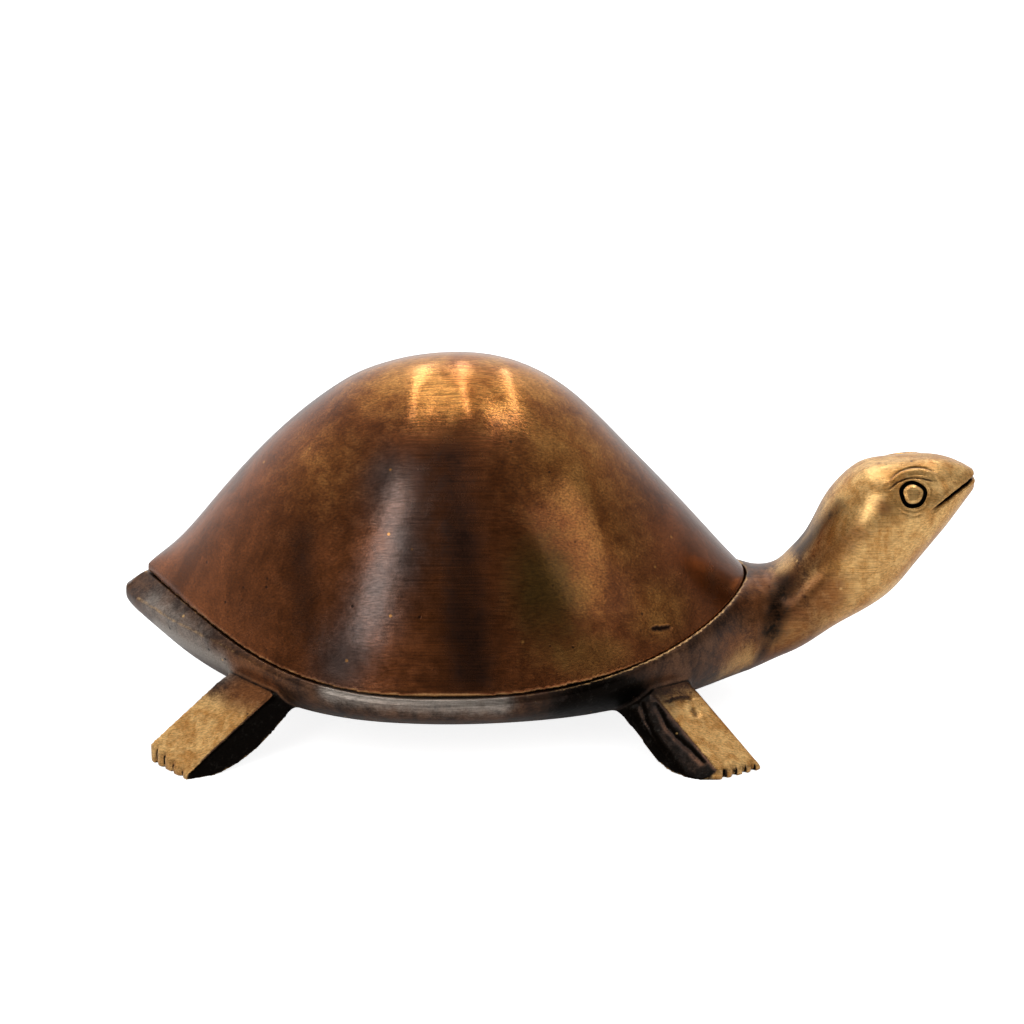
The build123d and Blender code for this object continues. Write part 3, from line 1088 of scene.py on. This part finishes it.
SHELL = ShellCasting("shell_casting", voxel=0.8, smoothing=2, finish=SHELL_FINISH, cuts=(
    Cut(((35, -51, 44.6), (39.1, -48.1, 43.8), (42.7, -45.5, 43.5)), 1.2, 0.35, 0.0, 0.85),
), stains=(
    Stain(RUBBED, (-26, -8, 124), (50, 38, 18), 1.0),
    Stain(RUBBED, (12, -28, 100), (34, 30, 34), 0.7),
    Stain(RUBBED, (20, -42, 78), (24, 22, 26), 0.52),
    Stain(RUBBED, (15, -58, 62), (15, 14, 18), 0.5),
    Stain(RUBBED, (12, -64, 40), (26, 12, 9), 0.6),
    Stain(RUBBED, (38, -46, 50), (18, 16, 13), 0.65),
    Stain(RUBBED, (-75, -30, 95), (26, 26, 26), 0.45),
    # Dark patches and stripes: partly patina and partly painted dark reflection, the stripe beside the painted sheen
    # most of all; the two at the front tip are painted shade that holds down a grazing reflection
    Stain(OXIDE, (-98, -48, 48), (13, 14, 12), 0.35),
    Stroke(OXIDE, ((-33, -42.5, 103), (-31, -52.6, 88), (-29, -61.7, 70), (-27, -70, 50),
                         (-26, -73.8, 38)), 13.0, 0.64),
    Stroke(OXIDE, ((-84, -46.2, 78), (-84, -54.9, 62), (-82, -62.4, 48)), 9.0, 0.5),
    Stain(OXIDE, (-62, -66, 46), (14, 12, 14), 0.35),
    Stain(OXIDE, (58, -24, 50), (10, 16, 12), 0.5),
    Stain(OXIDE, (63, -22, 47), (10, 14, 9), 0.5),
    Stain(TINGE, (-1, -60, 62), (17, 14, 34), 0.8),
    # Painted sheen: a grey painted highlight down the flank, along the left softbox's reflection
    Stroke(PAINTED_SHEEN, ((-51.9, -45.1, 96.7), (-51.1, -51.1, 88), (-52.0, -57.2, 77), (-57.1, -62.9, 63.6),
                         (-62.1, -66.5, 52.4), (-70, -68.8, 39.8)), 12.0, 0.8),
))
SIDE_OF_MOUTH = ((134.8, -16.5, 74.7), (139.9, -14.1, 77.9), (145.7, -10.0, 81.0), (150.6, -5.2, 82.9))
MOUTH = (*SIDE_OF_MOUTH, (152.1, 0, 83.5), *((x, -y, z) for x, y, z in reversed(SIDE_OF_MOUTH)))
BASE = BrazedBase("base_casting", voxel=0.55, smoothing=1, edge_wear=0.125, finish=BASE_FINISH, fine_spots=(
    ((128.4, -15.8, 81.5), 8.5), ((137.5, -15.5, 76.5), 6.5), ((128.0, -10.0, 87.5), 8.0),
    ((145.0, -9.0, 80.0), 7.5), ((151.0, 0.0, 83.0), 6.0),
), cuts=(
    Cut(((119.4, -13.8, 83.0), (122.4, -11.6, 85.6), (126.3, -9.9, 87.2), (130.5, -9.5, 87.8), (134.5, -10.1, 87.2),
         (137.6, -11.4, 86.0)), 1.7, -0.8, 0.0, 0.0),
    Cut(((119.0, -13.9, 82.9), (121.6, -11.0, 85.9), (125.0, -8.7, 87.8), (129.3, -7.6, 88.8), (133.5, -8.2, 88.6),
         (137.6, -10.1, 87.0)), 0.7, 0.4, 0.0, 0.62),
    Cut(((119.4, -15.0, 82.2), (123.0, -12.9, 84.7), (127.4, -11.8, 86.0), (131.8, -12.0, 86.0),
         (137.4, -12.7, 84.8)), 0.7, 0.45, 0.0, 0.68),
    Cut(((122.9, -18.0, 77.2), (124.3, -18.5, 75.7), (127.9, -18.3, 74.2), (132.2, -17.3, 74.6)), 0.6, 0.16, 0.0, 0.2),
    Cut(MOUTH, 1.05, 1.7, 0.12, 1.0, twin=False),
    Cut(((39.5, -60, 20.6), (45.3, -55.4, 20.4), (50.0, -53.4, 19.2)), 0.8, 0.4, 0.12, 0.6),
    Cut(((49.8, -58.0, 16.8), (51.0, -59.0, 16.2)), 1.8, 0.4, 0.1, 0.55, tapered=False),
    Cut(((36.5, -59, 20.8), (40.8, -64.9, 13.7), (48.1, -70.9, 8.2), (53, -75, 4.5)), 0.9, 0.22, 0.0, 0.4),
    Cut(((31.5, -57.2, 20.8), (34.7, -63.6, 12.4), (42, -71, 4.5)), 0.9, 0.22, 0.0, 0.4),
), stains=(
    Stroke(OXIDE, ((84.5, -12.5, 45), (81.5, -17, 38), (79, -19.5, 31)), 8.0, 0.68),
    Stroke(OXIDE, ((79, -19.5, 31), (76.5, -20, 21)), 4.5, 0.6),
    Stain(TINGE, (99, -18, 44), (12, 10, 13), 0.8),
    Stroke(OXIDE, ((102.7, -10.6, 75.6), (98.8, -9.7, 69.6), (94.5, -5.9, 62.6), (91.6, -4.6, 57.9)), 6.0, 0.55),
    Stroke(TINGE, ((108.2, -17.9, 68.1), (102.6, -16.9, 61.7), (96.0, -14.4, 56.2)), 7.0, 0.6),
    Stain(TINGE, (118.0, -17.9, 77.0), (4, 6, 4), 0.75),
    Stain(TINGE, (82, -15, 33), (22, 20, 24), 0.8),
    Stain(TINGE, (68, -32, 28), (16, 16, 14), 0.6),
    Stain(RUBBED, (86, -4, 51), (7, 9, 6), 0.7),
    Stain(RUBBED, (88, -20, 28), (16, 10, 11), 0.72),
    Stain(RUBBED, (70, -27, 21), (15, 12, 9), 0.8),
    # Near black on the bowl's side under the shell beside the front leg: partly patina, partly painted shade
    Stain(OXIDE, (18, -66, 24), (30, 16, 12), 1.1),
    Stain(TINGE, (-105, -55, 31), (24, 20, 7), 0.6),
    Stain(TINGE, (-104, -61, 25), (15, 12, 8), 0.85),
    # Painted sheen: pale grey painted reflection on the bowl's band under the shell and on the tail's ledge and flank
    Stroke(PAINTED_SHEEN, ((-74.1, -71.0, 30.5), (-43.5, -76.4, 29.2), (-16.6, -76.8, 27.9)), 4.5, 0.85),
    Stroke(PAINTED_SHEEN, ((-141.5, -16.9, 40.8), (-131.2, -29.8, 37.6), (-119.8, -39.7, 34)), 6.0, 0.6),
    Stroke(PAINTED_SHEEN, ((-137, -20, 33), (-121.6, -38.6, 30), (-114.0, -46.0, 29)), 5.5, 0.95),
    Stroke(WORN, ((-146.5, -11.1, 40.4), (-138, -22.2, 39.9), (-132.3, -28.6, 39), (-125.9, -35.5, 38.7),
                        (-119.7, -41.2, 38.0)), 1.2, 0.55),
    Stroke(WORN, ((66.5, -22, 44.6), (58.7, -35.7, 40.3), (52.6, -43.2, 38.1), (42.8, -52.0, 34.6)), 1.3, 0.36),
))


@dataclass
class Lamp:
    """A soft area lamp that looks at a point."""

    name: str
    place: Point
    target: Point
    size: Pair
    strength: float

    def make(self) -> None:
        """Adds the lamp. Its strength is the radiance that a mirror would show."""
        data = bpy.data.lights.new(self.name, "AREA")
        data.shape = "RECTANGLE"
        data.size, data.size_y = self.size
        data.energy = self.strength * math.pi * self.size[0] * self.size[1]
        lamp = bpy.data.objects.new(self.name, data)
        lamp.location = self.place
        lamp.rotation_euler = (Vector(self.target) - Vector(self.place)).to_track_quat("-Z", "Y").to_euler()
        bpy.context.scene.collection.objects.link(lamp)


@dataclass
class Studio:
    """The camera, the lamps, the room and the floor."""

    camera_place: Point = (-0.0126, -0.8986, 0.3874)
    camera_tilt: float = 70.5
    lens: float = 93.5
    floor_size: float = 12.0
    floor_glow: float = 0.84
    # The room along the view and across it: from where to where, and its level at either end
    room: tuple[tuple[str, float, float, float, float], ...] = (("Y", -0.9, 0.75, 0.12, 1.0),
                                                                ("X", 0.15, 0.9, 1.0, 0.45))
    room_on_matt: float = 0.55
    lamps: tuple[Lamp, ...] = (
        *(Lamp(f"strip_{side}", (x, 0.75, 1.35), (x, 0.75, 0.0), (0.05, 1.9), 8.0)
          for side, x in (("left", -0.32), ("middle", -0.02), ("right", 0.46))),
        Lamp("softbox_left", (-0.68, -1.35, 0.95), (-0.03, 0.0, 0.07), (0.48, 1.2), 3.1),
        Lamp("softbox_right", (1.6, -1.0, 1.1), (0.05, 0.0, 0.06), (0.9, 0.9), 0.8),
    )

    def add_camera(self) -> None:
        """Puts the camera at the photograph's viewing angle."""
        data = bpy.data.cameras.new("camera")
        data.lens = self.lens
        data.sensor_width = 36.0
        camera = bpy.data.objects.new("camera", data)
        camera.location = self.camera_place
        camera.rotation_euler = (math.radians(self.camera_tilt), 0.0, 0.0)
        bpy.context.scene.collection.objects.link(camera)
        bpy.context.scene.camera = camera

    def add_world(self) -> None:
        """A white room that is darker behind the camera, where the metal sees it."""
        world = bpy.data.worlds.new("room")
        world.use_nodes = True
        world.node_tree.nodes.clear()
        node = partial(add, world.node_tree)
        part = node("ShaderNodeSeparateXYZ", {0: node("ShaderNodeTexCoord", out="Generated")}).node.outputs
        level = 1.0
        for axis, start, end, near, far in self.room:
            fall = node(RAMP, {"Value": part[axis], "From Min": start, "From Max": end, "To Min": near,
                               "To Max": far}, **SMOOTH)
            level = node(MATH, {0: level, 1: fall}, operation="MULTIPLY")
        ray = node("ShaderNodeLightPath").node.outputs
        seen = node(MATH, {0: ray["Is Camera Ray"], 1: ray["Is Transmission Ray"]}, operation="MAXIMUM")
        level = node(MIX, {0: seen, 2: level, 3: 1.0})
        level = node(MIX, {0: ray["Is Diffuse Ray"], 2: level, 3: self.room_on_matt})
        back = node("ShaderNodeBackground", {"Color": linear("ffffff"), "Strength": level})
        node("ShaderNodeOutputWorld", {"Surface": back})
        bpy.context.scene.world = world

    def add_floor(self) -> None:
        """A pale floor that keeps the figure's soft shadow and meets the white room."""
        bpy.ops.object.select_all(action="DESELECT")
        bpy.ops.mesh.primitive_plane_add(size=self.floor_size, location=(0.0, 0.0, 0.0))
        floor = bpy.context.object
        floor.name = "floor"
        # White card with no shine: a matt ground on which only the shadow shows
        material = bpy.data.materials.new("White card, matt")
        material.use_nodes = True
        material.node_tree.nodes.clear()
        node = partial(add, material.node_tree)
        ray = node("ShaderNodeLightPath").node.outputs
        seen = node(MATH, {0: ray["Is Camera Ray"], 1: ray["Is Transmission Ray"]}, operation="MAXIMUM")
        card = node("ShaderNodeBsdfDiffuse", {"Color": linear("f2f2f2")})
        glow = node("ShaderNodeEmission", {"Color": linear("ffffff"), "Strength": self.floor_glow})
        both = node("ShaderNodeAddShader", {0: card, 1: glow})
        mix = node("ShaderNodeMixShader", {0: seen, 1: card, 2: both})
        node("ShaderNodeOutputMaterial", {"Surface": mix})
        floor.data.materials.append(material)

    def make(self) -> None:
        """Sets the whole studio up."""
        self.add_camera()
        self.add_world()
        self.add_floor()
        for lamp in self.lamps:
            lamp.make()
        bpy.context.scene.view_settings.view_transform = "Standard"


def main() -> None:
    """Builds the castings and the studio."""
    logging.basicConfig(level=logging.INFO, format="%(name)s: %(message)s")
    for casting in (SHELL, BASE):
        for piece in casting.make():
            LOG.info("%s: finished with %d faces", piece.name, len(piece.data.polygons))
    Studio().make()


if __name__ == "__main__":
    main()
